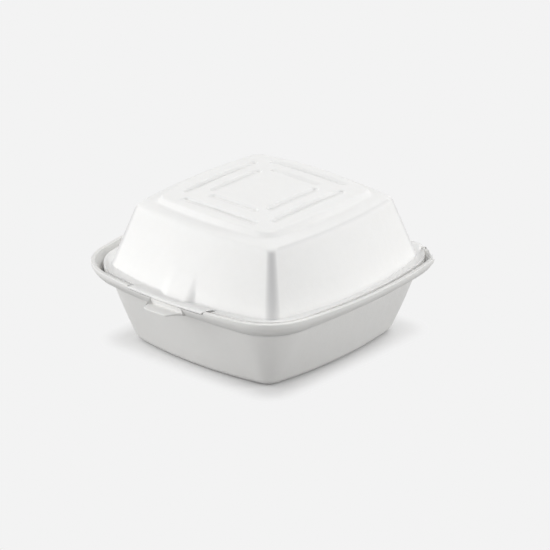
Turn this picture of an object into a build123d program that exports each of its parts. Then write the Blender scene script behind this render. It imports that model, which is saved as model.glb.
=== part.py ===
from build123d import *
import math
import os

# Foam clamshell container, closed: a square tub with a flared lip, and a domed lid hinged along the back.
# Millimetres. Origin at the centre of the tub's flat foot, +Z up, latch towards -Y, hinge towards +Y.

# An outline is a rounded rectangle with bowed sides: half width, half depth, bow of a side, corner radius.
FOOT = (52.0, 54.6, 5.4, 7.7)
LEDGE = (64.0, 66.0, 3.4, 25.0)
LIP = (76.0, 78.6, 9.3, 30.0)
FLANGE = (70.4, 72.8, 8.0, 30.0)
LID_FOOT = (66.0, 67.3, 9.3, 9.0)
LID_TOP = (51.4, 52.5, 4.2, 4.4)
PANEL = (41.3, 43.4, 3.0, 8.0)

# Foam sheet, how far and how high the tub's foot is chamfered, and the heights of the tub
FOAM = 2.2
FOOT_CHAMFER = (3.0, 2.8)
LEDGE_Z = 34.0
RIM_Z = 45.2
RIM_WIDTH = 2.0

# The flare bends on its way from the ledge to the lip: share of the way out, and height, outside and inside
FLARE_BENDS = ((0.66, 38.2), (0.97, 42.8))
FLARE_INNER_BEND = (0.78, 40.1)

# Heights of the lid, up to the foot of its top panel, and how far its top edge is eased
FLANGE_BOTTOM_Z = 40.8
FLANGE_TOP_Z = 43.0
LOW_WALL_Z = 46.0
LID_TOP_Z = 75.9
LID_TOP_EASE = 2.4
PANEL_FOOT_Z = 77.6

# The top panel, its crown, and the shares of the wall's inset kept under the lid's top edge and the panel
PANEL_Z = 80.8
PANEL_STEP = 2.0
CROWN_Z = 82.9
CROWN_RADIUS = 480.0
CROWN_REACH = 4.0
TOP_INSET_SHARE = 0.7
PANEL_INSET_SHARE = 0.5

# Bead around the lid's flange
BEAD_Z = 44.0
BEAD_WIDTH = 2.6

# Grooves pressed into the lid's top: half spacing and half length, each across and along, and floor height
GROOVE_WIDTH = 3.2
GROOVE_END = 1.0
GROOVE_DRAFT = 35.0
GROOVE_CUT = 4.0
RIB_HEIGHT = 1.8
OUTER_GROOVES = (30.3, 34.6, 25.2, 28.1, 80.4)
INNER_GROOVES = (19.6, 23.8, 15.9, 19.2, 81.4)

# Hinge across the back: two level strips, one over the other, that part at the crease
HINGE_Y = 71.0
HINGE_Z = 41.5
HINGE_GAP = 0.15
HINGE_CLEARANCE = 0.2
HINGE_HALF_LENGTH = 53.0
HINGE_ZONE_Y = 60.0
STRIP_ROOT_Y = 55.0
CORNER_TIP = (69.5, 55.5)
LID_CORNER_GAP = 0.7

# Latch at the front: a tongue on the tub under an apron on the lid, in a notch of the lip
TONGUE_WIDTH = 22.5
TONGUE_TIP_Y = -85.1
TONGUE_ROOT_Y = -60.0
TONGUE_TOP_Z = 40.5
TONGUE_CORNER = 5.0
NOTCH_HALF_WIDTH = 27.5
NOTCH_LEAN = 1.0
NOTCH_Z = 40.9
APRON_GAP = 1.6
APRON_Z = 45.2
APRON_CHAMFER = 0.6
APRON_BOTTOM_Z = 43.2
APRON_EDGE = (17.0, -68.0)
APRON_BACK_Y = -62.0

# Flute in the lid's front wall: radius, depth and height at its foot and at its head
FLUTE_FOOT = (16.5, 4.4, 43.0)
FLUTE_HEAD = (4.5, 0.2, 64.0)

# The walls lean outwards going up. The foam's inset is measured level, so it is a little over its thickness.
WALL_SLOPE = (LEDGE[0] - FOOT[0]) / LEDGE_Z
WALL_INSET = FOAM * math.hypot(1, WALL_SLOPE)
LID_SLOPE = (LID_FOOT[0] - LID_TOP[0]) / (LID_TOP_Z - FLANGE_TOP_Z)
LID_INSET = FOAM * math.hypot(1, LID_SLOPE)

# A reach beyond the whole container, how far a cutting solid runs past what it cuts, and a hair's breadth
BIG = 200.0
OVERCUT = 1.0
HAIR = 0.01


def grown(outline, amount):
    """The outline moved outwards by an amount, or inwards where the amount is negative."""
    half_x, half_y, bow, radius = outline
    return (half_x + amount, half_y + amount, bow, radius + amount)


def between(a, b, share):
    """The outline a given share of the way from outline a to outline b."""
    return tuple(p + (q - p) * share for p, q in zip(a, b))


def bowed_outline(outline, z):
    """A closed wire of eight arcs: four bowed sides and four corner arcs tangent to them."""
    half_x, half_y, bow, radius = outline
    chord_x = half_x - bow
    chord_y = half_y - bow
    side_radius_x = (bow * bow + chord_y * chord_y) / (2 * bow)
    side_radius_y = (bow * bow + chord_x * chord_x) / (2 * bow)
    centre_x = half_x - side_radius_x
    centre_y = half_y - side_radius_y

    # The corner's centre lies at known distances from the centres of its two side arcs.
    reach_x = side_radius_x - radius
    reach_y = side_radius_y - radius
    gap = math.hypot(centre_x, centre_y)
    along = (reach_x ** 2 - reach_y ** 2 + gap ** 2) / (2 * gap)
    off = math.sqrt(reach_x ** 2 - along ** 2)
    unit = (-centre_x / gap, centre_y / gap)
    corner = (centre_x + unit[0] * along - unit[1] * off, unit[1] * along + unit[0] * off)

    def on_arc(centre, arc_radius, angle):
        return (centre[0] + arc_radius * math.cos(angle), centre[1] + arc_radius * math.sin(angle))

    start_angle = math.atan2(corner[1], corner[0] - centre_x)
    end_angle = math.atan2(corner[1] - centre_y, corner[0])
    start = on_arc(corner, radius, start_angle)
    middle = on_arc(corner, radius, (start_angle + end_angle) / 2)
    end = on_arc(corner, radius, end_angle)

    def turned(point, sign_x, sign_y):
        return (point[0] * sign_x, point[1] * sign_y, z)

    arcs = []
    for sign_x, sign_y in ((1, 1), (-1, 1), (-1, -1), (1, -1)):
        points = [turned(p, sign_x, sign_y) for p in (start, middle, end)]
        if sign_x * sign_y < 0:
            points.reverse()
        arcs.append(Edge.make_three_point_arc(*points))
    sides = (
        (turned(end, 1, 1), (0, half_y, z), turned(end, -1, 1)),
        (turned(start, -1, 1), (-half_x, 0, z), turned(start, -1, -1)),
        (turned(end, -1, -1), (0, -half_y, z), turned(end, 1, -1)),
        (turned(start, 1, -1), (half_x, 0, z), turned(start, 1, 1)),
    )
    edges = []
    for arc, side in zip(arcs, sides):
        edges.append(arc)
        edges.append(Edge.make_three_point_arc(*side))
    return Wire(edges)


def eased(levels, index, reach):
    """The levels with the corner at one of them taken off over a reach on either side of it."""
    (corner, corner_z) = levels[index]
    ends = []
    for outline, z in (levels[index - 1], levels[index + 1]):
        share = min(1.0, reach / math.hypot(outline[0] - corner[0], z - corner_z))
        ends.append((between(corner, outline, share), corner_z + (z - corner_z) * share))
    return levels[:index] + ends + levels[index + 1:]


def halfway(levels, index):
    """The levels with one more between one of them and the next."""
    (lower, lower_z), (upper, upper_z) = levels[index:index + 2]
    return levels[:index + 1] + [(between(lower, upper, 0.5), (lower_z + upper_z) / 2)] + levels[index + 1:]


def stack(levels):
    """One solid through a list of (outline, height), straight from each level to the next."""
    return Solid.make_loft([bowed_outline(outline, z) for outline, z in levels], ruled=True)


def column(outline, z0, z1):
    """The upright solid with a bowed outline for its plan."""
    return extrude(make_face(bowed_outline(outline, z0)), z1 - z0)


def block(x0, x1, y0, y1, z0, z1):
    """A box given by its limits."""
    size = Box(x1 - x0, y1 - y0, z1 - z0)
    return Pos((x0 + x1) / 2, (y0 + y1) / 2, (z0 + z1) / 2) * size


def prism(points, z0, z1):
    """A straight-sided block with a polygon for its plan."""
    return extrude(Pos(0, 0, z0) * make_face(Polyline(*points, close=True)), z1 - z0)


def both_sides(solid):
    """A solid and its mirror image across the middle of the container."""
    return solid + mirror(solid, Plane.YZ)


def tub_body():
    """The outside of the tub as a solid, from the chamfered foot to the rim."""
    setback, height = FOOT_CHAMFER
    levels = [(grown(FOOT, -setback), 0.0), (between(FOOT, LEDGE, height / LEDGE_Z), height)]
    levels += [(LEDGE, LEDGE_Z)] + [(between(LEDGE, LIP, share), z) for share, z in FLARE_BENDS]
    return stack(halfway(levels + [(LIP, RIM_Z)], 1))


def tub_cavity():
    """The space inside the tub, from the floor up through the flared lip."""
    floor = grown(FOOT, WALL_SLOPE * FOAM - FOAM)
    ledge = grown(LEDGE, -WALL_INSET)
    mouth = grown(LIP, -RIM_WIDTH)
    share, bend_z = FLARE_INNER_BEND
    levels = [(floor, FOAM), (ledge, LEDGE_Z), (between(ledge, mouth, share), bend_z), (mouth, RIM_Z + HAIR)]
    return stack(halfway(levels, 0))


def back_cut(tip, end, z0):
    """All that lies behind the hinge line and behind the slanted corners beside it, from a height up."""
    corner = prism([end, tip, (BIG, tip[1]), (BIG, BIG), (end[0], BIG)], z0, BIG)
    return both_sides(corner) + block(-BIG, BIG, end[1], BIG, z0, BIG)


def tongue():
    """A flat level tab with a rounded tip that stands out from the front of the lip."""
    tab_middle = (TONGUE_TIP_Y + TONGUE_ROOT_Y) / 2
    plan = Pos(0, tab_middle) * Rectangle(TONGUE_WIDTH, TONGUE_ROOT_Y - TONGUE_TIP_Y)
    tip_corners = [v for v in plan.vertices() if v.Y < tab_middle]
    return extrude(Pos(0, 0, TONGUE_TOP_Z - FOAM) * fillet(tip_corners, TONGUE_CORNER), FOAM)


def notch():
    """The piece cut out of the front of the lip, a little wider at its top."""
    foot = NOTCH_HALF_WIDTH - NOTCH_LEAN
    profile = [(-foot, NOTCH_Z), (foot, NOTCH_Z), (NOTCH_HALF_WIDTH, RIM_Z), (-NOTCH_HALF_WIDTH, RIM_Z)]
    upright = Plane(origin=(0, 0, 0), x_dir=(1, 0, 0), z_dir=(0, -1, 0))
    slanted = extrude(upright * make_face(Polyline(*profile, close=True)), BIG)
    return slanted + block(-NOTCH_HALF_WIDTH, NOTCH_HALF_WIDTH, -BIG, 0, RIM_Z, RIM_Z + OVERCUT)


def base_tray():
    """The tub with its flared lip, the hinge flange at the back, and the notch and tongue of the latch."""
    cavity = tub_cavity()
    tray = tub_body() - cavity

    # The lip stops at slanted back corners, and a level flange runs between them along the hinge.
    strip_end = HINGE_Y - HINGE_GAP
    strip_top = HINGE_Z - HINGE_CLEARANCE
    strip_zone = block(-HINGE_HALF_LENGTH, HINGE_HALF_LENGTH, HINGE_ZONE_Y, strip_end, LEDGE_Z, BIG)
    tray -= back_cut(CORNER_TIP, (HINGE_HALF_LENGTH, strip_end), LEDGE_Z)
    tray -= strip_zone
    rise = WALL_SLOPE * (strip_top - LEDGE_Z)
    riser = stack([(LEDGE, LEDGE_Z), (grown(LEDGE, rise), strip_top)])
    riser_hollow = stack([
        (grown(LEDGE, -WALL_INSET), LEDGE_Z - HAIR),
        (grown(LEDGE, rise - WALL_INSET), strip_top),
    ])
    strip = block(-BIG, BIG, 0, strip_end, strip_top - FOAM, strip_top)
    tray += (riser + strip - riser_hollow) & strip_zone

    # The lip is cut down over the latch, and the tongue grows out of what is left of it.
    tray -= notch()
    tray += tongue() - cavity
    return tray.solid()


def lid_dome_levels(drop, inset):
    """Levels of the lid's dome, or of the space under it where it is dropped and inset by the foam."""
    panel_inset = inset * PANEL_INSET_SHARE
    levels = [
        (grown(LID_TOP, -inset * TOP_INSET_SHARE), LID_TOP_Z - drop),
        (grown(PANEL, PANEL_STEP - panel_inset), PANEL_FOOT_Z - drop),
        (grown(PANEL, -panel_inset), PANEL_Z - drop),
    ]
    return levels + [(grown(PANEL, -panel_inset), PANEL_Z + CROWN_REACH - drop)]


def crowned(solid, top_z):
    """The solid cut off by a very shallow dome whose top is at a height."""
    return solid & Pos(0, 0, top_z - CROWN_RADIUS) * Rot(90, 0, 0) * Sphere(CROWN_RADIUS)


def lid_dome():
    """The outside of the lid's dome as a solid, with its top edge eased."""
    levels = lid_dome_levels(0, 0)
    low_share = (LOW_WALL_Z - FLANGE_TOP_Z) / (LID_TOP_Z - FLANGE_TOP_Z)
    low_wall = [(LID_FOOT, FLANGE_TOP_Z), (between(LID_FOOT, LID_TOP, low_share), LOW_WALL_Z)]
    return crowned(stack(eased(halfway(low_wall + levels, 1), 3, LID_TOP_EASE)), CROWN_Z)


def lid_cavity():
    """The space under the lid."""
    foot = grown(LID_FOOT, -LID_INSET)
    below = FLANGE_BOTTOM_Z - OVERCUT
    mouth = grown(foot, LID_SLOPE * (FLANGE_TOP_Z - below))
    levels = halfway([(mouth, below)] + lid_dome_levels(FOAM, FOAM), 0)
    return crowned(stack(levels), CROWN_Z - FOAM)


def lid_flange():
    """The ring around the foot of the lid: a flat channel that rises to its outer edge."""
    channel = stack([(grown(FLANGE, -BEAD_WIDTH), FLANGE_TOP_Z), (grown(FLANGE, HAIR), BEAD_Z)])
    return column(FLANGE, FLANGE_BOTTOM_Z, BEAD_Z) - channel


def groove_rows():
    """Place, turn, length and floor height of the eight grooves, four in each of two squares."""
    rows = []
    for across, along, half_x, half_y, floor_z in (OUTER_GROOVES, INNER_GROOVES):
        for side in (-1, 1):
            rows.append(((0, side * along), 0, 2 * half_x, floor_z))
            rows.append(((side * across, 0), 90, 2 * half_y, floor_z))
    return rows


def groove(place, turn, length, z, width, height, draft):
    """A bar with blunt ends, wider going up where it has draft, to cut a groove or add the rib under it."""
    plan = Rectangle(length, width)
    plan = chamfer(plan.vertices(), GROOVE_END)
    return Pos(place[0], place[1], z) * Rot(0, 0, turn) * extrude(plan, height, taper=-draft)


def flute(extra, bottom_z):
    """A cone that leans against the front wall of the lid and bites into it, above a height."""
    centres = []
    for radius, depth, z in (FLUTE_FOOT, FLUTE_HEAD):
        wall_y = -LID_FOOT[1] + LID_SLOPE * (z - FLANGE_TOP_Z)
        centres.append(Vector(0, wall_y + depth - radius, z))
    lean = centres[1] - centres[0]
    taper = (FLUTE_FOOT[0] - FLUTE_HEAD[0]) / lean.length
    reach = lean.length + FLUTE_FOOT[0]
    foot_radius = FLUTE_HEAD[0] + taper * reach + extra
    head_radius = FLUTE_HEAD[0] + extra
    start = Plane(origin=centres[1] - lean.normalized() * reach, x_dir=(1, 0, 0), z_dir=lean)
    cone = Cone(foot_radius, head_radius, reach, align=(Align.CENTER, Align.CENTER, Align.MIN))
    return (start * cone) & block(-BIG, BIG, -BIG, 0, bottom_z, BIG)


def apron():
    """The front of the lid's flange, carried out over the notch in the tub's lip."""
    half = NOTCH_HALF_WIDTH - APRON_GAP
    inner_x, inner_y = APRON_EDGE
    right = [(half, -BIG), (half, -LIP[1]), (inner_x, inner_y), (inner_x, APRON_BACK_Y)]
    left = [(-x, y) for x, y in reversed(right)]
    zone = prism(right + left, APRON_BOTTOM_Z, APRON_Z)
    plate = stack([
        (LIP, APRON_BOTTOM_Z),
        (LIP, APRON_Z - APRON_CHAMFER),
        (grown(LIP, -APRON_CHAMFER), APRON_Z),
    ])
    return zone & plate


def lid():
    """The domed lid, with its flange, its grooved top, its flute and its part of the latch and hinge."""
    dome = lid_dome()
    cavity = lid_cavity()
    shell = dome + lid_flange() + apron() - cavity

    # Pressed features keep the foam's thickness: each hollow outside has a swelling inside.
    shell += flute(FOAM, APRON_Z - FOAM) & dome
    shell -= flute(0, APRON_Z)
    for place, turn, length, floor_z in groove_rows():
        shell += groove(place, turn, length + FOAM, floor_z - FOAM, GROOVE_WIDTH + FOAM, RIB_HEIGHT, 0)
    for place, turn, length, floor_z in groove_rows():
        shell -= groove(place, turn, length, floor_z, GROOVE_WIDTH, GROOVE_CUT, GROOVE_DRAFT)

    # The back of the flange is cut along the hinge, where a level strip takes its place.
    strip_end = HINGE_Y - HINGE_GAP
    strip_bottom = HINGE_Z + HINGE_CLEARANCE
    outer_half = HINGE_HALF_LENGTH + LID_CORNER_GAP
    strip_half = HINGE_HALF_LENGTH - LID_CORNER_GAP
    tip = (CORNER_TIP[0] - LID_CORNER_GAP, CORNER_TIP[1] - LID_CORNER_GAP)
    shell -= back_cut(tip, (strip_half, strip_end), 0)
    shell -= block(-outer_half, outer_half, HINGE_ZONE_Y, BIG, 0, strip_bottom)
    strip = block(-strip_half, strip_half, STRIP_ROOT_Y, strip_end, strip_bottom, strip_bottom + FOAM)
    shell += strip - cavity
    return shell.solid()


os.makedirs("parts", exist_ok=True)
for name, shape in (("base_tray", base_tray()), ("lid", lid())):
    shape.label = name
    export_step(shape, f"parts/{name}.step")
    print(name, round(shape.volume), "mm3")
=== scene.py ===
import math
import bpy
import numpy as np
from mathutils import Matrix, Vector


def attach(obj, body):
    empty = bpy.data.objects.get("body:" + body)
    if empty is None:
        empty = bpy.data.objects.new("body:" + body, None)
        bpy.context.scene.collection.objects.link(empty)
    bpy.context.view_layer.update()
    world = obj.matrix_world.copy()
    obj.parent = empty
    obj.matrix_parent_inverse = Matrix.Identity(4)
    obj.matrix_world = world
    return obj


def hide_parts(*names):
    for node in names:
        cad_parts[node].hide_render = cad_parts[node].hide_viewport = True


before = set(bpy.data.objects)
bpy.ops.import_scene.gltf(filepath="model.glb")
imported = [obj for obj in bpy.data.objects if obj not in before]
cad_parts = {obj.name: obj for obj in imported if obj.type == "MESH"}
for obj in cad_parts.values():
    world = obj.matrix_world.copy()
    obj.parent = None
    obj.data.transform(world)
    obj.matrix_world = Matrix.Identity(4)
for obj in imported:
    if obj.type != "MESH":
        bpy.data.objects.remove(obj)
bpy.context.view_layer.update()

# Foam clamshell container: a tub with a flared lip, and a domed lid hinged along the back.
# Shapes are worked out in millimetres and written to meshes in metres.

# An outline is a rounded rectangle with bowed sides, lying level. Its four numbers are its half
# width, its half depth, the bow of its sides and the radius of its corners.
FOOT = np.array((52.0, 54.6, 5.4, 7.7))
LEDGE = np.array((64.0, 66.0, 3.4, 25.0))
LIP = np.array((76.0, 78.6, 9.3, 30.0))
FLANGE = np.array((70.4, 72.8, 8.0, 30.0))
LID_FOOT = np.array((66.0, 67.3, 9.3, 9.0))
LID_TOP = np.array((51.4, 52.5, 4.2, 4.4))
PANEL = np.array((41.3, 43.4, 3.0, 8.0))
OUTWARD = np.array((1.0, 1.0, 0.0, 1.0))  # what an outline gains when it moves out by 1 mm

FOAM = 2.2  # thickness of the foam sheet
RIM_WIDTH = 2.0  # width of the tub's rim
STEP_WIDTH = 2.0  # how far the lid's stepped panel slopes out to the foot of its step
BEAD_WIDTH = 2.6  # width of the raised bead along the lid's edge

# Heights of the tub
BELOW_LEDGE_Z = 32.6
LEDGE_Z = 34.0
INNER_LEDGE_Z = 34.6
NOTCH_Z = 43.5
RIM_Z = 45.2

# Heights of the lid
FLANGE_UNDER_Z = 40.8
LID_MOUTH_Z = 41.8  # where the inside of the wall begins, and the underside of the apron
FLANGE_Z = 43.0
LID_TOP_Z = 75.9
STEP_Z = 77.6
PANEL_Z = 81.05
INNER_PANEL_Z = 81.3  # just inside the panel's rounded edge
CROWN_Z = 82.9
CROWN_RADIUS = 480.0
LID_WALL_HEIGHT = 32.9

# Pressed grooves of the lid: the places of their middle lines across and along the panel, the
# half lengths of those that run across and along it, and the height of their floors.
OUTER_GROOVES = (30.3, 34.6, 25.2, 28.1, 80.4)
INNER_GROOVES = (19.6, 23.8, 15.9, 19.2, 81.4)
GROOVE_HALF = 2.0
GROOVE_DEEPER = 0.25

# Hinge: two level strips that meet at the crease, the lid's lying on the tub's.
HINGE_Y = 70.98
STRIP_HALF = 51.6
STRIP_UNDER_Z = 39.1
STRIP_CREASE_Z = 40.5  # the underside of the tub's strip at the crease, where it is thin
STRIP_TOP_Z = 41.47
RISER_HEIGHT = 7.3  # height above the ledge of the riser that carries the tub's strip
LID_STRIP_UNDER_Z = 41.53
LID_STRIP_THINNING = 0.7
STRIP_SHARE = 0.84  # share of a back corner's turn at which the tub's strip begins
CORNER_TIP = (69.5, 55.5)  # where the slant beside the strip leaves the rim
LID_INSET = 0.7  # how far the lid's slant lies inside the tub's

# Latch: a tongue out of a notch in the tub's lip, under the lid's apron. The tongue has a round
# left corner, and a slant on its right.
TONGUE = (-9.4, 12.2)
TONGUE_TIP_Y = -85.1
TONGUE_RADIUS = 4.0
TONGUE_LEFT_TURN = -5.4
TONGUE_RIGHT_TURN = 6.6
TONGUE_SLANT = 1.9
NOTCH_HALF = 26.2
NOTCH_END = 0.3  # width over which each end of the notch rises to the rim
APRON_HALF = 25.9
APRON_RISE = 2.2  # how far the apron rises from the wall to its edge
APRON_EDGE = (19.0, -70.5)  # where the low bevel at the apron's corner begins
APRON_BEVEL = 0.25

# Swelling of the lid's front wall over the latch.
SWELLING = 2.6
SWELLING_HEIGHT = 13.5

# Points along each column of the tub's flare and of the lid's flange, up to the cut edge of the
# foam on each side of it, and round that edge.
FLARE_STEPS = 22
FLANGE_STEPS = 15
CAP_STEPS = 3
CAP_POINTS = 2 * (CAP_STEPS + 1)
EDGE_ROUNDING = 0.4

# Strengths of the painted shade, from 0 to 1: along the grooves' upper edges, down the lid's
# corners, along its side top edges and on the swelling's steep right side.
GROOVE_SHADE = 0.22
CORNER_SHADE = 0.9
SIDE_EDGE_SHADE = 0.5
SWELLING_SHADOW = 0.45

# Colours
# The tub is the same foam as the lid. Its darker colour is painted shade, for its walls that face a
# little downward, away from the lamps.
BASE_COLOR_WITH_PAINTED_SHADE = (0.827, 0.822, 0.808)
LID_COLOR = (0.9, 0.898, 0.89)
FLECK_COLOR = (0.42, 0.41, 0.38, 1)
BACKGROUND = (0.896, 0.896, 0.896, 1)
FLOOR_COLOR = (0.86, 0.86, 0.86, 1)
FLOOR_UNSEEN_COLOR = (0.45, 0.45, 0.45, 1)

FLOOR_HALF = 6.0
SHADOW_CORE = (0.046, 0.0486, 0)  # half sizes in metres of the place under the box
SHADOW_FADE = (0.004, 0.02)  # distances beyond it in metres over which the shadow fades out

# Light and camera, in metres and degrees. Azimuth turns from the front towards the right.
WORLD_LIGHT = 0.387
LAMP_TARGET = Vector((0, 0, 0.04))
LAMP_DISTANCE = 1.6
LAMPS = (
    # name, azimuth, elevation, size, power
    ("front_left", -50, 25, 1.0, 9.1),
    ("high_left", -60, 50, 1.0, 2.8),
    ("left", -95, 25, 1.0, 2.2),
    ("front", 0, 12, 1.0, 8.0),
    ("back_right", 125, 15, 0.9, 12.8),
    ("back", 180, 45, 1.0, 7.9),
)
CAMERA_AZIMUTH = 41.31
CAMERA_ELEVATION = 22.94
CAMERA_TARGET = Vector((0, 0, 0.04872))
CAMERA_DISTANCE = 2.2256
CAMERA_LENS = 278.5
CAMERA_SHIFT = (0.0192, -0.0482)


# Small helpers

def between(a, b, share):
    """The place that lies a share of the way from one outline or point to another."""
    return a + (b - a) * share


def curve(a, b, c, t):
    """A place on the smooth curve from a to c that bends towards b."""
    return (1 - t) ** 2 * a + 2 * t * (1 - t) * b + t * t * c


def smooth(edge0, edge1, x):
    """A soft step from 0 at one edge to 1 at the other."""
    t = np.clip((x - edge0) / (edge1 - edge0), 0, 1)
    return t * t * (3 - 2 * t)


def inner_shares(count):
    """Evenly spaced shares from one end of a side to the other, without its two ends."""
    return list(np.linspace(-1, 1, count)[1:-1])


# Columns: places around an outline, shared by all outlines of a piece

def arcs_of(outline):
    """Centres, radii and angles of the side and corner arcs in one quarter of an outline."""
    half_x, half_y, bow, radius = outline
    chord_x = half_x - bow
    chord_y = half_y - bow
    side_x = (bow * bow + chord_y * chord_y) / (2 * bow)
    side_y = (bow * bow + chord_x * chord_x) / (2 * bow)
    centre_x = half_x - side_x
    centre_y = half_y - side_y
    reach_x = side_x - radius
    reach_y = side_y - radius
    gap = math.hypot(centre_x, centre_y)
    along = (reach_x ** 2 - reach_y ** 2 + gap ** 2) / (2 * gap)
    off = math.sqrt(reach_x ** 2 - along ** 2)
    ux = -centre_x / gap
    uy = centre_y / gap
    corner_x = centre_x + ux * along - uy * off
    corner_y = uy * along + ux * off
    start = math.atan2(corner_y, corner_x - centre_x)
    end = math.atan2(corner_y - centre_y, corner_x)
    return side_x, centre_x, side_y, centre_y, corner_x, corner_y, radius, start, end


def columns(front, back, side, corner, back_corner):
    """Kind, signs and share of each column, anticlockwise from the back right corner."""
    rows = []
    rows += [("corner", 1, 1, t) for t in back_corner]
    rows += [("back", 1, 1, f) for f in back[::-1]]
    rows += [("corner", -1, 1, t) for t in back_corner[::-1]]
    rows += [("side", -1, 1, f) for f in side[::-1]]
    rows += [("corner", -1, -1, t) for t in corner]
    rows += [("front", 1, -1, f) for f in front]
    rows += [("corner", 1, -1, t) for t in corner[::-1]]
    rows += [("side", 1, 1, f) for f in side]
    return rows


def ring(outline, rows):
    """Plan points of an outline at every column."""
    side_x, centre_x, side_y, centre_y, corner_x, corner_y, radius, start, end = arcs_of(outline)
    points = np.empty((len(rows), 2))
    for i, (kind, sign_x, sign_y, share) in enumerate(rows):
        if kind == "corner":
            angle = start + (end - start) * share
            x = corner_x + radius * math.cos(angle)
            y = corner_y + radius * math.sin(angle)
        elif kind == "side":
            angle = share * start
            x = centre_x + side_x * math.cos(angle)
            y = side_x * math.sin(angle)
        else:
            angle = share * (math.pi / 2 - end)
            x = side_y * math.sin(angle)
            y = centre_y + side_y * math.cos(angle)
        points[i] = (x * sign_x, y * sign_y)
    return points


def side_shares(outline, places, spacing):
    """Shares along the front arc, evenly spaced, with four beside each place that has an edge."""
    near, beside = 0.45, 0.15
    _, _, side_y, _, _, _, _, _, end = arcs_of(outline)
    turn = math.pi / 2 - end
    reach = side_y * math.sin(turn)
    count = int(2 * reach / spacing)
    xs = list(np.linspace(-reach, reach, count + 1)[1:-1])
    for place in places:
        xs = [x for x in xs if abs(abs(x) - place) > near]
        for step in (-near, -beside, beside, near):
            xs += [place + step, -place - step]
    return [math.asin(x / side_y) / turn for x in sorted(xs)]


# Profiles: lists of (outline, height, rounding) that become rings of points

def rounded(profile, steps):
    """The profile as (outline, height) levels, with each corner turned into a smooth curve."""
    full = [np.append(outline, z) for outline, z, _ in profile]
    levels = []
    for i, (_, _, reach) in enumerate(profile):
        if reach == 0 or i in (0, len(profile) - 1):
            levels.append(full[i])
            continue
        ends = []
        for other in (full[i - 1], full[i + 1]):
            length = math.hypot(other[0] - full[i][0], other[4] - full[i][4])
            ends.append(between(full[i], other, min(0.49, reach / length)))
        for t in np.linspace(0, 1, steps + 1):
            levels.append(curve(ends[0], full[i], ends[1], t))
    return [(level[:4], level[4]) for level in levels]


def divided(profile, longest):
    """The profile with extra levels, so that none of its straight runs is longer than a length."""
    out = [profile[0]]
    for (a, za), (b, zb) in zip(profile, profile[1:]):
        count = max(1, math.ceil(math.hypot(b[0] - a[0], zb - za) / longest))
        for k in range(1, count + 1):
            out.append((between(a, b, k / count), between(za, zb, k / count)))
    return out


def rings(levels, rows):
    """Points of every level at every column, as an array of levels by columns by three."""
    out = np.empty((len(levels), len(rows), 3))
    for i, (outline, z) in enumerate(levels):
        out[i, :, :2] = ring(outline, rows)
        out[i, :, 2] = z
    return out


# Paths: one column's points on one face of the foam

def resampled(path, count, shorten):
    """A path of points cut into even steps, stopping short of its end by a length."""
    steps = np.linalg.norm(np.diff(path, axis=0), axis=1)
    total = np.concatenate(([0.0], np.cumsum(steps)))
    wanted = np.linspace(0, max(total[-1] - shorten, 1e-6), count)
    return np.stack([np.interp(wanted, total, path[:, i]) for i in range(3)], axis=1)


def cut_where(path, value):
    """The start of a path up to the place where a value along it first turns positive."""
    for i in range(1, len(path)):
        if value[i] > 0:
            share = -value[i - 1] / (value[i] - value[i - 1])
            return np.vstack([path[:i], between(path[i - 1], path[i], share)])
    return path


def edge_cap(up, down):
    """Points round the cut edge of the foam, from the end of one face's path to the other's."""
    out = []
    for before, corner, after in ((up[-2], up[-1], down[-1]), (up[-1], down[-1], down[-2])):
        ends = []
        for other in (before, after):
            away = other - corner
            length = np.linalg.norm(away)
            ends.append(corner + away / length * min(EDGE_ROUNDING, 0.45 * length))
        for t in np.linspace(0, 1, CAP_STEPS + 1):
            out.append(curve(ends[0], corner, ends[1], t))
    return np.array(out)


def round_edge(up, down, steps):
    """One column of points along one face, round the cut edge and back along the other face."""
    return np.concatenate([
        resampled(up, steps, EDGE_ROUNDING),
        edge_cap(up, down),
        resampled(down, steps, EDGE_ROUNDING)[::-1],
    ])


def past_slant(points, inset):
    """How far points lie past the slant beside the hinge strip. It is negative inside."""
    tip_x = CORNER_TIP[0] - inset
    tip_y = CORNER_TIP[1] - inset
    run = STRIP_HALF - inset - tip_x
    rise = HINGE_Y - tip_y
    return (points[..., 1] - tip_y) * -run - (tip_x - np.abs(points[..., 0])) * rise


# Meshes

def build(name, layers, flip, marks):
    """A closed mesh from rings of points, with a fan over the first and the last ring."""
    count, around, _ = layers.shape
    verts = np.vstack([layers.reshape(-1, 3), layers[0].mean(0), layers[-1].mean(0)]) / 1000
    first = count * around
    last = (count - 1) * around
    faces = []
    for low in range(0, last, around):
        for k in range(around):
            n = (k + 1) % around
            faces.append((low + k, low + n, low + around + n, low + around + k))
    for k in range(around):
        n = (k + 1) % around
        faces.append((first, n, k))
        faces.append((first + 1, last + k, last + n))
    if flip:
        faces = [face[::-1] for face in faces]
    mesh = bpy.data.meshes.new(name)
    mesh.from_pydata([tuple(v) for v in verts], [], faces)
    mesh.validate()
    mesh.shade_smooth()
    for mark, values in marks.items():
        attribute = mesh.attributes.new(mark, "FLOAT", "POINT")
        values = np.append(values.reshape(-1), (0.0, 0.0)).astype(np.float32)
        attribute.data.foreach_set("value", values)
    obj = bpy.data.objects.new(name, mesh)
    bpy.context.scene.collection.objects.link(obj)
    normals = obj.modifiers.new("even_normals", "WEIGHTED_NORMAL")
    normals.weight = 70
    return obj


def pressed_edge(layers, edge_at):
    """The mark of the smooth pressed foam round the cut edge, which begins at one of the rings."""
    press = np.zeros(layers.shape[:2])
    press[edge_at:edge_at + CAP_POINTS] = 1.0
    return press


# Base tray

def base_rows():
    """Columns of the tub, closer together at the edges of its latch and of its hinge strip."""
    front = side_shares(LIP, (-TONGUE[0], TONGUE[1], NOTCH_HALF), 0.9)
    corner = list(np.linspace(0, 1, 26))
    back_corner = [t for t in np.linspace(0, 1, 46) if abs(t - STRIP_SHARE) > 0.02]
    back_corner = sorted(back_corner + [0.822, 0.831, 0.838, 0.842, 0.849, 0.858])
    return columns(front, inner_shares(62), inner_shares(50), corner, back_corner)


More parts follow.
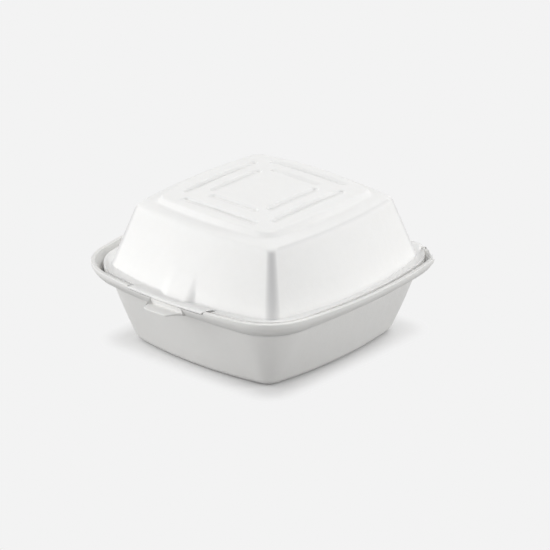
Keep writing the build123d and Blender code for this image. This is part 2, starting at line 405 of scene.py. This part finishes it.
def strip_paths(up, down, riser_up, riser_down):
    """The hinge strip's two faces at one column: a riser from the ledge, then out to the crease."""
    x = np.clip(up[-1, 0], -STRIP_HALF, STRIP_HALF)
    bends = ((x, HINGE_Y - 4.0, STRIP_UNDER_Z), (x, HINGE_Y, STRIP_CREASE_Z))
    up = np.vstack([up[0], riser_up, *bends])
    down = np.vstack([down[0], riser_down, (x, HINGE_Y, STRIP_TOP_Z)])
    return up, down


def slant_paths(up, down):
    """The flare's two faces at one column beside the strip, cut along the slant and held low."""
    up = cut_where(up, past_slant(up, 0.0))
    down = cut_where(down, past_slant(down, 0.0))
    strip_z, strip_foam, rise, near_hinge_y = 41.2, 1.4, 0.3, 60.0
    for path, below in ((up, strip_foam), (down, 0.0)):
        beyond_strip = np.maximum(0, np.abs(path[:, 0]) - STRIP_HALF - 1.0)
        cap_z = strip_z - below + rise * beyond_strip
        held = np.minimum(path[:, 2], cap_z)
        path[:, 2] = np.where(path[:, 1] > near_hinge_y, held, path[:, 2])
    return up, down


def tongue_tip(x):
    """How far out the tongue reaches at a place across it."""
    if x < TONGUE_LEFT_TURN:
        turn = TONGUE_LEFT_TURN - x
        return TONGUE_TIP_Y + TONGUE_RADIUS - math.sqrt(max(TONGUE_RADIUS ** 2 - turn * turn, 0))
    return TONGUE_TIP_Y + TONGUE_SLANT * (math.hypot(max(x - TONGUE_RIGHT_TURN, 0), 1.0) - 1.0)


def tongue_paths(x, y, up, down):
    """The two faces at one column of the tongue: down from the notch's edge and level outwards."""
    tip_y = min(tongue_tip(x), y + 0.9)
    bends = ((y + 0.3, 43.4), (y + 0.5, 42.5), (y + 1.3, 41.3), (y + 1.2, 40.8), (tip_y, 40.7))
    down = cut_where(down, down[:, 2] - NOTCH_Z)
    down = np.vstack([down, [(x, bend_y, bend_z) for bend_y, bend_z in bends]])
    up = cut_where(up, up[:, 2] - 38.0)
    up = np.vstack([up, (x, (tip_y + y) / 2 + 1.0, 39.2), (x, tip_y, 39.8)])
    return up, down


def notch_paths(x, up, down):
    """The flare's two faces at one column of the notch, cut at its bottom or its steep end."""
    near_end = float(np.clip((abs(x) - NOTCH_HALF + NOTCH_END) / NOTCH_END, 0, 1))
    edge_z = between(NOTCH_Z, RIM_Z, near_end)
    return cut_where(up, up[:, 2] - edge_z), cut_where(down, down[:, 2] - edge_z)


def base_tray():
    """The tub: foot, wall, ledge and flared lip, with the tongue, the notch and the hinge strip."""
    rows = base_rows()
    slope = (LEDGE[0] - FOOT[0]) / LEDGE_Z
    inset = FOAM * math.hypot(1, slope)
    below_ledge = FOOT + (LEDGE - FOOT) * BELOW_LEDGE_Z / LEDGE_Z
    floor = FOOT + OUTWARD * (slope * FOAM - FOAM)
    ledge_in = LEDGE - OUTWARD * inset
    mouth = LIP - OUTWARD * RIM_WIDTH

    low_outer = rings(divided(rounded([
        (FOOT * 0.04, 0.0, 0),
        (FOOT, 0.0, 4.0),
        (below_ledge, BELOW_LEDGE_Z, 0),
    ], 6), 9.0), rows)
    outer = rings(rounded([
        (below_ledge, BELOW_LEDGE_Z, 0),
        (LEDGE - OUTWARD * 0.5, 33.9, 0.35),
        (between(LEDGE, LIP, 0.08), 34.5, 0.35),
        (between(LEDGE, LIP, 0.66), 38.2, 2.4),
        (between(LEDGE, LIP, 0.97), 42.6, 2.2),
        (LIP, RIM_Z, 0),
    ], 5), rows)
    inner = rings(rounded([
        (mouth, RIM_Z, 0),
        (mouth, 44.4, 0.7),
        (between(ledge_in, mouth, 0.78), 40.1, 2.4),
        (ledge_in, INNER_LEDGE_Z, 0),
    ], 5), rows)[::-1]
    low_inner = rings(divided(rounded([
        (ledge_in, INNER_LEDGE_Z, 0),
        (floor, FOAM, 3.4),
        (floor * 0.04, FOAM, 0),
    ], 6), 9.0), rows)

    riser_out = slope * (STRIP_UNDER_Z - LEDGE_Z)
    riser_in = slope * RISER_HEIGHT - (inset - slope * FOAM)
    riser_outer = rings([(LEDGE + OUTWARD * riser_out, STRIP_UNDER_Z)], rows)[0]
    riser_inner = rings([(LEDGE + OUTWARD * riser_in, STRIP_TOP_Z)], rows)[0]

    flare = np.empty((2 * FLARE_STEPS + CAP_POINTS, len(rows), 3))
    for k, (kind, _, sign_y, share) in enumerate(rows):
        x, y, _ = outer[-1, k]
        up = outer[:, k]
        down = inner[:, k]
        back_corner = kind == "corner" and sign_y > 0
        if kind == "back" or (back_corner and share > STRIP_SHARE):
            up, down = strip_paths(up, down, riser_outer[k], riser_inner[k])
        elif back_corner:
            up, down = slant_paths(up, down)
        elif kind == "front" and TONGUE[0] < x < TONGUE[1]:
            up, down = tongue_paths(x, y, up, down)
        elif kind == "front" and abs(x) < NOTCH_HALF:
            up, down = notch_paths(x, up, down)
        flare[:, k] = round_edge(up, down, FLARE_STEPS)

    layers = np.concatenate([low_outer[:-1], flare, low_inner[1:]])
    edge_at = len(low_outer) - 1 + FLARE_STEPS
    # Painted shade along the crease where the flare leaves the wall, on the outside of the tub
    # only.
    near_ledge = 1 - np.clip(np.abs(layers[:, :, 2] - LEDGE_Z) / 0.7, 0, 1)
    outside = np.arange(len(layers))[:, None] < edge_at
    marks = {"press": pressed_edge(layers, edge_at), "painted_shade": near_ledge * outside}
    return build("base_foam", layers, False, marks)


# Lid

def lid_rows():
    """Columns of the lid, closer together at the edges of its apron."""
    front = side_shares(LID_FOOT, (APRON_HALF,), 0.8)
    corner = list(np.linspace(0, 1, 22))
    return columns(front, inner_shares(62), inner_shares(92), corner, corner)


def groove_distances(x, y):
    """Distance from each groove's middle line, two grooves at a time, and its floor's height."""
    for across, along, half_x, half_y, floor_z in (OUTER_GROOVES, INNER_GROOVES):
        for u, v, half in ((x, np.abs(y) - along, half_x), (y, np.abs(x) - across, half_y)):
            beyond_end = np.maximum(np.abs(u) - (half - GROOVE_HALF), 0)
            yield np.hypot(beyond_end, v), floor_z


def crown(points):
    """Height of the crowned panel with its eight grooves."""
    x = points[..., 0]
    y = points[..., 1]
    z = CROWN_Z - (x * x + y * y) / (2 * CROWN_RADIUS)
    for distance, floor_z in groove_distances(x, y):
        depth = floor_z - GROOVE_DEEPER - z
        z = np.minimum(z, z + depth * (1 - smooth(1.2, 2.4, distance)))
    return z


def groove_edges(x, y):
    """How near a place on the panel is to the upper edge of a groove, from 0 to 1."""
    near = np.zeros_like(x)
    for distance, _ in groove_distances(x, y):
        near = np.maximum(near, 1 - np.clip(np.abs(distance - GROOVE_HALF) / 0.6, 0, 1))
    return near


def panel_rings(outline, shares, rows):
    """Rings of the crowned panel, less bowed towards its middle."""
    layers = np.empty((len(shares), len(rows), 3))
    for layer, share in zip(layers, shares):
        layer[:, :2] = ring(outline * share * np.array((1, 1, share, 1)), rows)
        layer[:, 2] = crown(layer)
    return layers


def swell(level):
    """Push the front wall's points out over the latch in a low swelling, steeper on its right."""
    x, y, z = level.T
    above = z - FLANGE_Z
    height = SWELLING * (1 - np.clip(above / SWELLING_HEIGHT, 0, 1)) ** 1.3
    left = smooth(-13.0, -5.5, x)
    right = 1 - smooth(6.2, 11.6 - 0.25 * np.clip(above, 0, 12), x)
    y -= np.where(y < 0, height * left * right, 0)


def flange_heights(path, end, at_back, on_apron):
    """Height of the lid flange's upper face along a path from the wall's foot to its edge."""
    if on_apron:
        along = np.linalg.norm(path - path[0], axis=1) / np.linalg.norm(end - path[0])
        beyond = (np.abs(path[:, 0]) - APRON_EDGE[0]) * 8.1 - (APRON_EDGE[1] - path[:, 1]) * 6.9
        outer_part = smooth(APRON_EDGE[1], -72.0, path[:, 1])
        bevel = APRON_BEVEL * smooth(-3.0, 3.0, beyond) * outer_part
        return FLANGE_Z + APRON_RISE * smooth(0.0, 0.9, along) - bevel
    inward = np.linalg.norm(path - end, axis=1)
    bead = np.clip((BEAD_WIDTH - inward) / BEAD_WIDTH, 0, 1)
    if at_back:
        strip = float(smooth(57.0, 52.0, abs(path[-1, 0])))
        thinning = LID_STRIP_THINNING * strip * smooth(3.5, 0.5, inward)
        return FLANGE_Z + bead * (1 - strip) - thinning
    return FLANGE_Z + bead


def lid_flange(foot, rows):
    """Rings of the flange: out over its top, round its edge and back under it."""
    flange_plan = ring(FLANGE, rows)
    lip_plan = ring(LIP, rows)
    shares = np.linspace(0, 1, FLANGE_STEPS)
    flange = np.empty((2 * FLANGE_STEPS + CAP_POINTS, len(rows), 3))
    for k, (kind, _, sign_y, _) in enumerate(rows):
        start = foot[k, :2]
        end = flange_plan[k]
        under_z = np.full(FLANGE_STEPS, FLANGE_UNDER_Z)
        at_back = sign_y > 0 and kind in ("back", "corner")
        on_apron = kind == "front" and abs(start[0]) < APRON_HALF
        if on_apron:
            end = np.array((start[0], lip_plan[k, 1]))
            under_z = LID_MOUTH_Z + APRON_RISE * smooth(0.35, 0.78, shares)
        elif at_back and abs(end[0]) > STRIP_HALF - LID_INSET:
            inside, outside = past_slant(np.array((start, end)), LID_INSET)
            if outside > 0:
                end = between(start, end, inside / (inside - outside))
        elif at_back:
            end = start + (end - start) * (HINGE_Y - start[1]) / (end[1] - start[1])
            under_z = np.full(FLANGE_STEPS, LID_STRIP_UNDER_Z)
        path = start + (end - start) * shares[:, None]
        up = np.column_stack([path, flange_heights(path, end, at_back, on_apron)])
        flange[:, k] = round_edge(up, np.column_stack([path, under_z]), FLANGE_STEPS)
    return flange


def lid_shade(layers, rows, top_count, wall_count):
    """Painted shade on the lid: along the grooves' upper edges, down the corners, along the side
    top edges and on the swelling's right side over the latch.
    """
    painted_shade = np.zeros(layers.shape[:2])
    top = layers[:top_count]
    # Painted shade along the upper edges of the grooves.
    painted_shade[:top_count] = GROOVE_SHADE * groove_edges(top[:, :, 0], top[:, :, 1])
    sides = np.array([kind == "side" for kind, _, _, _ in rows])
    corners = np.array([
        math.sin(math.pi * share) if kind == "corner" else 0.0 for kind, _, _, share in rows
    ])
    for i in range(top_count, top_count + wall_count):
        x, y, _ = layers[i].T
        z = layers[i, 0, 2]
        # Painted shadow on the steep right side of the swelling over the latch.
        lean = 0.3 * (z - FLANGE_Z)
        swelling_side = smooth(7.5, 9.5, x) * smooth(12.2 - lean, 10.8 - lean, x)
        # Painted shade down the four upright corners and along the side top edges.
        painted_shade[i] = CORNER_SHADE * corners * smooth(76.0, 74.0, z)
        painted_shade[i, sides] = SIDE_EDGE_SHADE * max(0.0, 1 - abs(z - 75.6) / 0.7)
        painted_shade[i] = np.maximum(painted_shade[i], SWELLING_SHADOW * swelling_side * (y < 0) * smooth(49.5, 46.0, z))
    return painted_shade


def lid():
    """The lid: grooved panel, step, wall and flange, with the apron and the hinge strip."""
    rows = lid_rows()
    slope = (LID_FOOT[0] - LID_TOP[0]) / LID_WALL_HEIGHT
    inset = FOAM * math.hypot(1, slope)

    panel_shares = [0.04, 0.15, 0.28, 0.38]
    panel_shares += list(np.linspace(0.41, 0.545, 15))  # inner grooves
    panel_shares += list(np.linspace(0.56, 0.66, 4))
    panel_shares += list(np.linspace(0.68, 0.835, 17))  # outer grooves
    panel_shares += [0.86, 0.90, 0.94]
    top = panel_rings(PANEL, panel_shares, rows)
    ceiling = panel_rings(PANEL - OUTWARD, panel_shares[::-1][2:], rows)
    ceiling[:, :, 2] -= FOAM

    wall_levels = divided(rounded([
        (PANEL * 0.97, INNER_PANEL_Z, 0),
        (PANEL, PANEL_Z, 1.0),
        (PANEL + OUTWARD * STEP_WIDTH, STEP_Z, 1.2),
        (LID_TOP, LID_TOP_Z, 2.4),
        (between(LID_FOOT, LID_TOP, 0.22), 50.24, 0),
    ], 5), 2.4)
    wall_levels += divided([wall_levels[-1], (LID_FOOT, FLANGE_Z)], 0.9)[1:]
    wall = rings(wall_levels, rows)
    near_panel = np.clip((wall[:, :, 2] - STEP_Z) / 3.0, 0, 1)
    wall[:, :, 2] += near_panel * (crown(wall) - PANEL_Z)

    under = rings(divided(rounded([
        (LID_FOOT - OUTWARD * inset + OUTWARD * slope * 1.2, LID_MOUTH_Z, 0),
        (LID_TOP - OUTWARD * inset * 0.7, LID_TOP_Z - FOAM, 1.6),
        (PANEL + OUTWARD * (STEP_WIDTH - inset * 0.5), STEP_Z - FOAM, 1.2),
        (PANEL - OUTWARD * inset * 0.5, 80.9 - FOAM, 1.0),
        (PANEL * 0.9, INNER_PANEL_Z - FOAM, 0),
    ], 4), 4.0), rows)
    for level in (*wall, *under):
        swell(level)

    layers = np.concatenate([top, wall[:-1], lid_flange(wall[-1], rows), under, ceiling])
    marks = {
        "press": pressed_edge(layers, len(top) + len(wall) - 1 + FLANGE_STEPS),
        "painted_shade": lid_shade(layers, rows, len(top), len(wall)),
    }
    return build("lid_foam", layers, True, marks)


# Materials

def node_maker(tree):
    """A cleared node tree's own function for adding a node with its properties and inputs."""
    tree.nodes.clear()

    def node(kind, inputs=None, **properties):
        made = tree.nodes.new(kind)
        for key, value in properties.items():
            setattr(made, key, value)
        for key, value in (inputs or {}).items():
            if isinstance(value, bpy.types.NodeSocket):
                tree.links.new(value, made.inputs[key])
            else:
                made.inputs[key].default_value = value
        return made

    return node


def fleck_mask(node, place, color):
    """The colour with a few small grey flecks, as are trapped in the foam."""
    dots = node("ShaderNodeTexVoronoi", {"Vector": place, "Scale": 70.0}, feature="F1")
    small = node("ShaderNodeMath", {0: dots.outputs["Distance"], 1: 0.022}, operation="LESS_THAN")
    split = node("ShaderNodeSeparateColor", {0: dots.outputs["Color"]})
    rare = node("ShaderNodeMath", {0: split.outputs[0], 1: 0.06}, operation="LESS_THAN")
    both = node("ShaderNodeMath", {0: small.outputs[0], 1: rare.outputs[0]}, operation="MULTIPLY")
    fleck = node(
        "ShaderNodeMix",
        {"Factor": both.outputs[0], "A": color, "B": FLECK_COLOR},
        data_type="RGBA",
    )
    return fleck.outputs["Result"]


def foam_material(name, color):
    """Foam with fine cells, a faint unevenness, painted shade in its creases and on its corners and
    edges, and smoother pressed edges.
    """
    material = bpy.data.materials.new(name)
    material.use_nodes = True
    node = node_maker(material.node_tree)
    red, green, blue = color
    place = node("ShaderNodeTexCoord").outputs["Object"]

    cells = node(
        "ShaderNodeTexVoronoi",
        {"Vector": place, "Scale": 1500.0, "Smoothness": 0.6},
        feature="SMOOTH_F1",
    )
    waves = node("ShaderNodeTexNoise", {"Vector": place, "Scale": 70.0, "Detail": 3.0})
    clouds = node("ShaderNodeTexNoise", {"Vector": place, "Scale": 260.0, "Detail": 4.0})
    fine = node("ShaderNodeBump", {
        "Strength": 0.25, "Distance": 0.00012, "Height": cells.outputs["Distance"],
    })
    broad = node("ShaderNodeBump", {
        "Strength": 0.5, "Distance": 0.0006, "Height": waves.outputs["Fac"],
        "Normal": fine.outputs["Normal"],
    })

    tint = node("ShaderNodeMix", {
        "Factor": clouds.outputs["Fac"],
        "A": (red * 0.975, green * 0.975, blue * 0.97, 1),
        "B": (red, green, blue, 1),
    }, data_type="RGBA")
    # Painted shade: the colour is mixed towards a darker copy of itself by the mark that the mesh
    # carries.
    painted_shade = node("ShaderNodeAttribute", attribute_name="painted_shade")
    with_painted_shade = node("ShaderNodeMix", {
        "Factor": painted_shade.outputs["Fac"],
        "A": tint.outputs["Result"],
        "B": (red * 0.72, green * 0.72, blue * 0.73, 1),
    }, data_type="RGBA")

    press = node("ShaderNodeAttribute", attribute_name="press")
    gloss = node("ShaderNodeMapRange", {
        "Value": press.outputs["Fac"], "To Min": 0.55, "To Max": 0.38,
    })
    shader = node("ShaderNodeBsdfPrincipled", {
        "Base Color": fleck_mask(node, place, with_painted_shade.outputs["Result"]),
        "Roughness": gloss.outputs["Result"],
        "IOR": 1.42,
        "Normal": broad.outputs["Normal"],
        "Subsurface Weight": 0.12,
        "Subsurface Radius": (1.0, 0.95, 0.9),
        "Subsurface Scale": 0.002,
    })
    node("ShaderNodeOutputMaterial", {0: shader.outputs[0]})
    return material


def dress(obj, material, body, node_name):
    """Give a piece its material, hang it on its body, and hide the CAD node that it stands for."""
    obj.data.materials.append(material)
    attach(obj, body)
    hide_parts(node_name)


dress(base_tray(), foam_material("foam_base", BASE_COLOR_WITH_PAINTED_SHADE), "base", "base_tray")
dress(lid(), foam_material("foam_lid", LID_COLOR), "lid", "lid")


# Floor, light and camera

def floor_material():
    """A pale floor that shows the shadow round the box, and is the background further off."""
    material = bpy.data.materials.new("floor")
    material.use_nodes = True
    node = node_maker(material.node_tree)
    place = node("ShaderNodeTexCoord").outputs["Object"]
    side = node("ShaderNodeVectorMath", {0: place}, operation="ABSOLUTE")
    beyond = node(
        "ShaderNodeVectorMath", {0: side.outputs[0], 1: SHADOW_CORE}, operation="SUBTRACT",
    )
    outward = node("ShaderNodeVectorMath", {0: beyond.outputs[0]}, operation="MAXIMUM")
    distance = node("ShaderNodeVectorMath", {0: outward.outputs[0]}, operation="LENGTH")
    fade = node("ShaderNodeMapRange", {
        "Value": distance.outputs["Value"],
        "From Min": SHADOW_FADE[0],
        "From Max": SHADOW_FADE[1],
    }, interpolation_type="SMOOTHSTEP")
    shadowed = node("ShaderNodeBsdfDiffuse", {"Color": FLOOR_COLOR})
    plain = node("ShaderNodeEmission", {"Color": BACKGROUND})
    seen = node("ShaderNodeMixShader", {
        "Fac": fade.outputs["Result"], 1: shadowed.outputs[0], 2: plain.outputs[0],
    })
    unseen = node("ShaderNodeBsdfDiffuse", {"Color": FLOOR_UNSEEN_COLOR})
    path = node("ShaderNodeLightPath")
    mix = node("ShaderNodeMixShader", {
        "Fac": path.outputs["Is Camera Ray"], 1: unseen.outputs[0], 2: seen.outputs[0],
    })
    node("ShaderNodeOutputMaterial", {0: mix.outputs[0]})
    return material


def add_floor():
    far = FLOOR_HALF
    mesh = bpy.data.meshes.new("floor")
    corners = [(-far, -far, 0), (far, -far, 0), (far, far, 0), (-far, far, 0)]
    mesh.from_pydata(corners, [], [(0, 1, 2, 3)])
    floor = bpy.data.objects.new("floor", mesh)
    bpy.context.scene.collection.objects.link(floor)
    mesh.materials.append(floor_material())


def add_world():
    """An even white surround for light, which the camera sees as the background's grey."""
    world = bpy.data.worlds.new("studio")
    bpy.context.scene.world = world
    world.use_nodes = True
    node = node_maker(world.node_tree)
    light = node("ShaderNodeBackground", {"Color": (1, 1, 1, 1), "Strength": WORLD_LIGHT})
    shown = node("ShaderNodeBackground", {"Color": BACKGROUND})
    path = node("ShaderNodeLightPath")
    mix = node("ShaderNodeMixShader", {
        "Fac": path.outputs["Is Camera Ray"], 1: light.outputs[0], 2: shown.outputs[0],
    })
    node("ShaderNodeOutputWorld", {0: mix.outputs[0]})


def direction(azimuth, elevation):
    """The way from the box towards a lamp or the camera."""
    turn = math.radians(azimuth)
    rise = math.radians(elevation)
    flat = math.cos(rise)
    return Vector((math.sin(turn) * flat, -math.cos(turn) * flat, math.sin(rise)))


def add_facing(name, data, target, toward, distance):
    """An object that looks at a target from some way off."""
    obj = bpy.data.objects.new(name, data)
    obj.location = target + toward * distance
    obj.rotation_euler = toward.to_track_quat("Z", "Y").to_euler()
    bpy.context.scene.collection.objects.link(obj)
    return obj


def add_lamp(name, azimuth, elevation, size, power):
    """A round soft lamp aimed at the box."""
    data = bpy.data.lights.new(name, "AREA")
    data.shape = "DISK"
    data.size = size
    data.energy = power
    add_facing(name, data, LAMP_TARGET, direction(azimuth, elevation), LAMP_DISTANCE)


def add_camera():
    data = bpy.data.cameras.new("camera")
    data.sensor_width = 36.0
    data.lens = CAMERA_LENS
    data.shift_x, data.shift_y = CAMERA_SHIFT
    data.clip_end = 50.0
    back = direction(CAMERA_AZIMUTH, CAMERA_ELEVATION)
    camera = add_facing("camera", data, CAMERA_TARGET, back, CAMERA_DISTANCE)
    bpy.context.scene.camera = camera


add_floor()
add_world()
for lamp in LAMPS:
    add_lamp(*lamp)
add_camera()

view = bpy.context.scene.view_settings
view.view_transform = "Standard"
